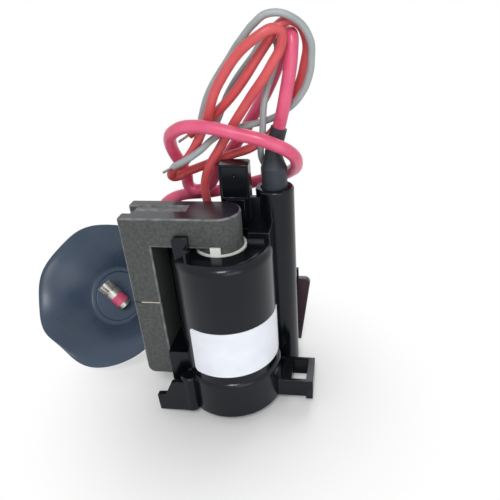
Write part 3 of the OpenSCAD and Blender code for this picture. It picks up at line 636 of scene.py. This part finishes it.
def turned_mesh(name, section, place_of, steps, finish):
    """A closed solid of turning. The first and last section points lie on the axis."""
    mesh = bmesh.new()
    top = mesh.verts.new(place_of(*section[0], 0.0))
    bottom = mesh.verts.new(place_of(*section[-1], 0.0))
    angles = [math.tau * k / steps for k in range(steps)]
    rings = [[mesh.verts.new(place_of(*point, angle)) for angle in angles] for point in section[1:-1]]
    for k in range(steps):
        after = (k + 1) % steps
        mesh.faces.new((top, rings[0][k], rings[0][after]))
        mesh.faces.new((bottom, rings[-1][after], rings[-1][k]))
        for inner, outer in zip(rings, rings[1:]):
            mesh.faces.new((inner[k], outer[k], outer[after], inner[after]))
    bmesh.ops.recalc_face_normals(mesh, faces=mesh.faces)
    data = bpy.data.meshes.new(name)
    mesh.to_mesh(data)
    mesh.free()
    data.polygons.foreach_set("use_smooth", [True] * len(data.polygons))
    data.materials.append(finish)
    return data


cap_data = turned_mesh("anode_cap_cup", cap_section, cap_point, CAP_STEPS, cap_slate)
cap_data.transform(cap_frame)
anode_cap = bpy.data.objects.new("anode_cap_cup", cap_data)
scene.collection.objects.link(anode_cap)
print("cap faces:", len(cap_data.polygons))

# %% [markdown]
# Stem of the cap
#
# The anode lead enters the hub through a short round stem with a chamfered lip. A
# cylinder with a bevel could be that stem. The cap's own turning helper makes it from
# five points, so it is used again, with a rule that leaves it round.

# %% Turn the stem
STEM_RADIUS = 0.004
STEM_LIP = 0.0008
STEM_STEPS = 48


def round_point(radius, height, angle):
    """Place of a section point on a plain round piece."""
    return Vector((radius * math.cos(angle), radius * math.sin(angle), height))


stem_section = [
    (0.0, 0.0), (STEM_RADIUS, 0.0), (STEM_RADIUS, STEM_LENGTH - STEM_LIP),
    (STEM_RADIUS - STEM_LIP, STEM_LENGTH), (0.0, STEM_LENGTH),
]
stem_data = turned_mesh("anode_cap_stem", stem_section, round_point, STEM_STEPS, cap_slate)
stem_data.transform(stem_frame @ Matrix.Rotation(math.radians(90), 4, "Y"))
cap_stem = bpy.data.objects.new("anode_cap_stem", stem_data)
scene.collection.objects.link(cap_stem)
print("stem faces:", len(stem_data.polygons))

# %% [markdown]
# What stands for what
#
# The leads, their strands and the cap take the place of plainer solids, and they stay
# with the transformer when a knob turns. Parenting and hiding could do that by hand.
# Here a loop does it: each piece is parented to the transformer's body, and the solid
# that it replaces, where there is one, is hidden.

LEAD_PIECES = [
    (anode_lead, "anode_lead", "anode_insulation"),
    (focus_lead, "focus_lead", "focus_insulation"),
    (screen_lead, "screen_lead", "screen_insulation"),
    (focus_strands, "focus_lead_tip", "tinned_metal"),
    (screen_strands, "screen_lead_tip", "tinned_metal"),
    (anode_cap, "anode_cap", "cap_rubber"),
    (cap_stem, None, "cap_rubber"),
]
for piece, solid, slot in LEAD_PIECES:
    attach(piece, "transformer")
    if solid:
        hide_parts(solid)
print("pieces on leads:", len(LEAD_PIECES))

# %% [markdown]
# Softened corners
#
# Moulded plastic and pressed ferrite have no knife edges: every corner catches a thin
# line of light. A bevel on all edges could give that, but it would spoil the inner
# creases. So a merged copy of each hard solid gets a narrow bevel on its outer corners
# only, picked by their angle. An edge that is very short, or beside a sliver of a
# face, has no room for a bevel and stays as it is.

# %% Pick the outer corners
CORNER_LEAST = math.radians(40)
CORNER_MOST = math.radians(140)
SMOOTH_BELOW = math.radians(28)
SLIVER_AREA = 6e-8
SHORTEST_EDGE = 0.0003


def pick_corners(mesh, spared):
    """Give bevel weight to the outer corners with room for it, apart from those spared."""
    weight = mesh.edges.layers.float.new("bevel_weight_edge")
    picked = 0
    for edge in mesh.edges:
        if len(edge.link_faces) != 2:
            continue
        angle = edge.calc_face_angle_signed(0.0)
        sliver = min(face.calc_area() for face in edge.link_faces) < SLIVER_AREA
        edge.smooth = sliver or abs(angle) < SMOOTH_BELOW
        roomy = not sliver and edge.calc_length() > SHORTEST_EDGE
        if roomy and CORNER_LEAST < angle < CORNER_MOST and not spared(edge):
            edge[weight] = 1.0
            picked += 1
    return picked


corner_range = [round(math.degrees(angle)) for angle in (CORNER_LEAST, CORNER_MOST)]
print("corners in degrees:", corner_range)

# %% [markdown]
# Worn ferrite and painted edge highlights
#
# On the core the bevels take a paler finish, partly for the wear of its corners and
# partly as a painted highlight along the rounded edge. The floor of the groove in its
# top, which is worn, takes the same finish. Both could be painted as a mask. Faces can
# carry their own finish, though, and the bevel can be told which one it gets, so the
# wear and the painted highlight follow the shape by themselves.

# %% Bevels and tops
LEVEL_NORMAL = 0.95
CLOSE_BY = 0.0001
BEVEL_STEPS = 2


def finish_tops(mesh):
    """Give the second finish to the top and the third to lower level faces."""
    top = max(vert.co.z for vert in mesh.verts)
    for face in mesh.faces:
        if face.normal.z > LEVEL_NORMAL:
            face.material_index = 1 if face.calc_center_median().z > top - CLOSE_BY else 2


def round_corners(piece, width, edge_finish):
    """Bevel the picked corners of a piece, with a finish of their own where there is one."""
    bevel = piece.modifiers.new("corner", "BEVEL")
    bevel.width = width
    bevel.segments = BEVEL_STEPS
    bevel.limit_method = "WEIGHT"
    bevel.use_clamp_overlap = False
    bevel.loop_slide = False
    # On the core this is the paler ferrite: wear, and a painted highlight on the bevels.
    if edge_finish:
        piece.data.materials.append(edge_finish)
        bevel.material = len(piece.data.materials) - 1
    even = piece.modifiers.new("even", "WEIGHTED_NORMAL")
    even.keep_sharp = True


print("bevels have", BEVEL_STEPS, "steps")

# %% [markdown]
# A copy that stands in for a solid
#
# The solids come as loose triangles, and a bevel needs whole faces that share their
# edges. Edit mode has commands that merge points and dissolve flat edges by hand. The
# same commands can be called for a mesh in a script, so each copy is cleaned, has its
# corners picked and bevelled, and then takes the solid's place on the same body.

# %% A softened copy of a solid
SAME_POINT = 2e-6
FLAT_ANGLE = math.radians(0.1)


def spare_none(edge):
    """A test that spares no edge."""
    return False


def softened(node, width, edge_finish=None, top_finish=None, spared=spare_none, mend=None):
    """A merged copy of a solid with narrow rounded corners, which stands in for it."""
    data = nodes[node].data.copy()
    data.name = node + "_soft"
    mesh = bmesh.new()
    mesh.from_mesh(data)
    bmesh.ops.remove_doubles(mesh, verts=mesh.verts, dist=SAME_POINT)
    if mend:
        mend(mesh)
    bmesh.ops.dissolve_limit(mesh, angle_limit=FLAT_ANGLE, verts=mesh.verts, edges=mesh.edges)
    corners = pick_corners(mesh, spared)
    for face in mesh.faces:
        face.smooth = True
    if top_finish:
        finish_tops(mesh)
        data.materials.append(top_finish)
    mesh.to_mesh(data)
    mesh.free()
    piece = bpy.data.objects.new(node + "_soft", data)
    scene.collection.objects.link(piece)
    round_corners(piece, width, edge_finish)
    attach(piece, nodes[node]["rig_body"])
    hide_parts(node)
    print(piece.name, "corners:", corners)
    return piece


print("points closer than", SAME_POINT, "m become one")

# %% [markdown]
# The box's corner at the tube
#
# On the real moulding the wall of the control box runs smoothly into the round tube.
# In the solid the box's corner stands out of the tube a little. A boolean could cut it
# off, but a cut through such a thin place can leave a rough seam. The corner's own
# points are drawn in to the tube's wall instead.

# %% Run the box's corner into the tube
TUBE_CENTRE = Vector((0.01749, 0.01876))
TUBE_RADIUS = 0.0072
BOX_CORNER = Vector((0.022, 0.012))


def corner_into_tube(mesh):
    """Draw the corner of the box in to the tube's wall, where the moulding runs smooth."""
    for vert in mesh.verts:
        if (vert.co.xy - BOX_CORNER).length < CLOSE_BY:
            vert.co.xy = TUBE_CENTRE + TUBE_RADIUS * (BOX_CORNER - TUBE_CENTRE).normalized()


corner_out = (BOX_CORNER - TUBE_CENTRE).length - TUBE_RADIUS
print("the corner moves in by", round(corner_out, 5), "m")

# %% [markdown]
# Edges that stay sharp
#
# Some edges belong to a joint between two pieces: the halves of the core, the box and
# its cover, and the knobs in their holes. A bevel there would open a gap that the real
# object doesn't have. Such edges could be picked by hand in edit mode, but each is
# known by its place, so a small test names it.

# %% Edges that stay sharp
KNOB_CLEAR = 0.009
SEAT_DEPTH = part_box("case")[1].y
knob_places = [Vector(joint["pos_m"]) for joint in frame["record"]["behaviour"]["joints"]]


def at_height(height):
    """A test for edges that lie at one height."""
    return lambda edge: all(abs(vert.co.z - height) < CLOSE_BY for vert in edge.verts)


def on_the_seat(edge):
    """Whether an edge lies where the cover seats on the box."""
    return all(abs(vert.co.y - SEAT_DEPTH) < CLOSE_BY for vert in edge.verts)


def round_a_knob(edge):
    """Whether an edge is part of a knob's hole."""
    middle = (edge.verts[0].co + edge.verts[1].co) / 2
    return any((middle - knob).xz.length < KNOB_CLEAR for knob in knob_places)


print("cover's seat at", round(SEAT_DEPTH, 4), "m, knobs:", len(knob_places))

# %% [markdown]
# Widths of the corners
#
# A hard moulding has tight corners, the cover's are wider, and pressed ferrite is
# rounded most. One width for all could do, but the eye tells plastic from ceramic by
# this line. The core's bevel stays within the depth of the groove in its top.

# %% Soften the hard solids
CASE_CORNER = 0.00025
BRACKET_CORNER = 0.0002
COVER_CORNER = 0.0004
UPPER_CORE_CORNER = 0.00058
LOWER_CORE_CORNER = 0.0006
core_joint_above = at_height(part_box("upper_core")[0].z)
core_joint_below = at_height(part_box("lower_core")[1].z)
softened("case", CASE_CORNER, spared=on_the_seat, mend=corner_into_tube)
softened("side_bracket", BRACKET_CORNER)
softened("rear_cover", COVER_CORNER, spared=round_a_knob)
# The core's bevels take the paler ferrite: wear and a painted highlight along the edge.
softened("upper_core", UPPER_CORE_CORNER, ferrite_wear_and_highlight, ferrite_top,
         spared=core_joint_above)
softened("lower_core", LOWER_CORE_CORNER, ferrite_wear_and_highlight, spared=core_joint_below)

# %% [markdown]
# Floor
#
# The photograph has a plain white ground. A very bright world could give one, but it
# would wash the object out. So the object stands on a pale floor, which takes its soft
# shadow as any floor does, and which later fades to white.

# %% Floor
FLOOR_CLEAR = 0.0002
FLOOR_HALF = 3.0
FLOOR_COLOUR = (0.92, 0.92, 0.92, 1.0)
FLOOR_ROUGHNESS = 0.9
floor_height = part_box("terminal_pins")[0].z - FLOOR_CLEAR
floor_sides = ((-1, -1), (1, -1), (1, 1), (-1, 1))
floor_corners = [(FLOOR_HALF * x, FLOOR_HALF * y, floor_height) for x, y in floor_sides]
floor_data = bpy.data.meshes.new("floor")
floor_data.from_pydata(floor_corners, [], [(0, 1, 2, 3)])
floor = bpy.data.objects.new("floor", floor_data)
scene.collection.objects.link(floor)
floor_white = bpy.data.materials.new("floor_white")
floor_white.use_nodes = True
floor_tree = floor_white.node_tree
floor_shader = floor_tree.nodes["Principled BSDF"]
floor_shader.inputs["Base Color"].default_value = FLOOR_COLOUR
floor_shader.inputs["Roughness"].default_value = FLOOR_ROUGHNESS
floor_data.materials.append(floor_white)
print("floor at", round(floor_height, 4))

# %% [markdown]
# A white ground
#
# Away from the object the floor should be plain white, with no edge or horizon. A
# backdrop that is lit brightly could do that, but its light would fall on the object
# too. Light Path tells the rays that the eye follows, straight or reflected, from
# those that only carry light, so the floor glows white for the first kind alone. The
# glow fades in with the distance, and the shadow near the pins stays.


# %% Fade the floor to white
def white_rays(tree):
    """1 for rays that the eye follows: straight, reflected or refracted."""
    path = tree.nodes.new("ShaderNodeLightPath")
    value = path.outputs["Is Camera Ray"]
    for name in ("Is Glossy Ray", "Is Transmission Ray"):
        most = tree.nodes.new("ShaderNodeMath")
        most.operation = "MAXIMUM"
        tree.links.new(value, most.inputs[0])
        tree.links.new(path.outputs[name], most.inputs[1])
        value = most.outputs[0]
    return value


FADE_FROM = 0.02
FADE_TO = 0.09
reach = floor_tree.nodes.new("ShaderNodeVectorMath")
reach.operation = "LENGTH"
floor_place = floor_tree.nodes.new("ShaderNodeTexCoord")
fade = floor_tree.nodes.new("ShaderNodeMapRange")
fade.interpolation_type = "SMOOTHSTEP"
fade.inputs["From Min"].default_value = FADE_FROM
fade.inputs["From Max"].default_value = FADE_TO
far_and_seen = floor_tree.nodes.new("ShaderNodeMath")
far_and_seen.operation = "MULTIPLY"
white = floor_tree.nodes.new("ShaderNodeEmission")
blend = floor_tree.nodes.new("ShaderNodeMixShader")
floor_tree.links.new(floor_place.outputs["Object"], reach.inputs[0])
floor_tree.links.new(reach.outputs["Value"], fade.inputs["Value"])
floor_tree.links.new(fade.outputs["Result"], far_and_seen.inputs[0])
floor_tree.links.new(white_rays(floor_tree), far_and_seen.inputs[1])
floor_tree.links.new(far_and_seen.outputs[0], blend.inputs["Fac"])
floor_tree.links.new(floor_shader.outputs[0], blend.inputs[1])
floor_tree.links.new(white.outputs[0], blend.inputs[2])
floor_tree.links.new(blend.outputs[0], floor_tree.nodes["Material Output"].inputs["Surface"])
print("floor fades from", FADE_FROM, "to", FADE_TO, "m")

# %% [markdown]
# The room
#
# Above the floor the room is white to the camera and in reflections, as the ground is.
# One white background could serve for light as well, but it would flatten every form.
# So two backgrounds are mixed by the same rays: a white one to look at, and a dimmer
# one that fills the shadows.

# %% World
ROOM_WHITE = (1.0, 1.0, 1.0, 1.0)
ROOM_LIGHT = 0.45
ROOM_SEEN = 1.0
world = bpy.data.worlds.new("studio")
world.use_nodes = True
scene.world = world
world_tree = world.node_tree
ambient = world_tree.nodes["Background"]
bright = world_tree.nodes.new("ShaderNodeBackground")
for background, strength in ((ambient, ROOM_LIGHT), (bright, ROOM_SEEN)):
    background.inputs["Color"].default_value = ROOM_WHITE
    background.inputs["Strength"].default_value = strength
room = world_tree.nodes.new("ShaderNodeMixShader")
world_tree.links.new(white_rays(world_tree), room.inputs["Fac"])
world_tree.links.new(ambient.outputs[0], room.inputs[1])
world_tree.links.new(bright.outputs[0], room.inputs[2])
world_tree.links.new(room.outputs[0], world_tree.nodes["World Output"].inputs["Surface"])
print("room light:", ROOM_LIGHT)

# %% [markdown]
# Lamps
#
# The light in the photograph seems to come mostly from above and in front. A point
# lamp there would make each highlight on the glossy case a dot. A square area lamp
# gives it some width: the key is fairly small and high, a broad fill lifts the right
# side, and a broad lamp behind lights the tops and the leads.

# %% Lamps
LAMP_TARGET = Vector((0.0, 0.0, 0.06))
LAMPS = [
    ("key", Vector((0.06, -0.45, 0.52)), 0.16, 1.75),
    ("fill", Vector((0.3, -0.5, 0.14)), 0.35, 0.7),
    ("rim", Vector((0.1, 0.5, 0.5)), 0.4, 1.2),
]
for name, place, size, power in LAMPS:
    light_data = bpy.data.lights.new(name, "AREA")
    light_data.size = size
    light_data.energy = power
    light = bpy.data.objects.new(name, light_data)
    scene.collection.objects.link(light)
    aim = (LAMP_TARGET - place).to_track_quat("-Z", "Y")
    light.matrix_world = Matrix.Translation(place) @ aim.to_matrix().to_4x4()
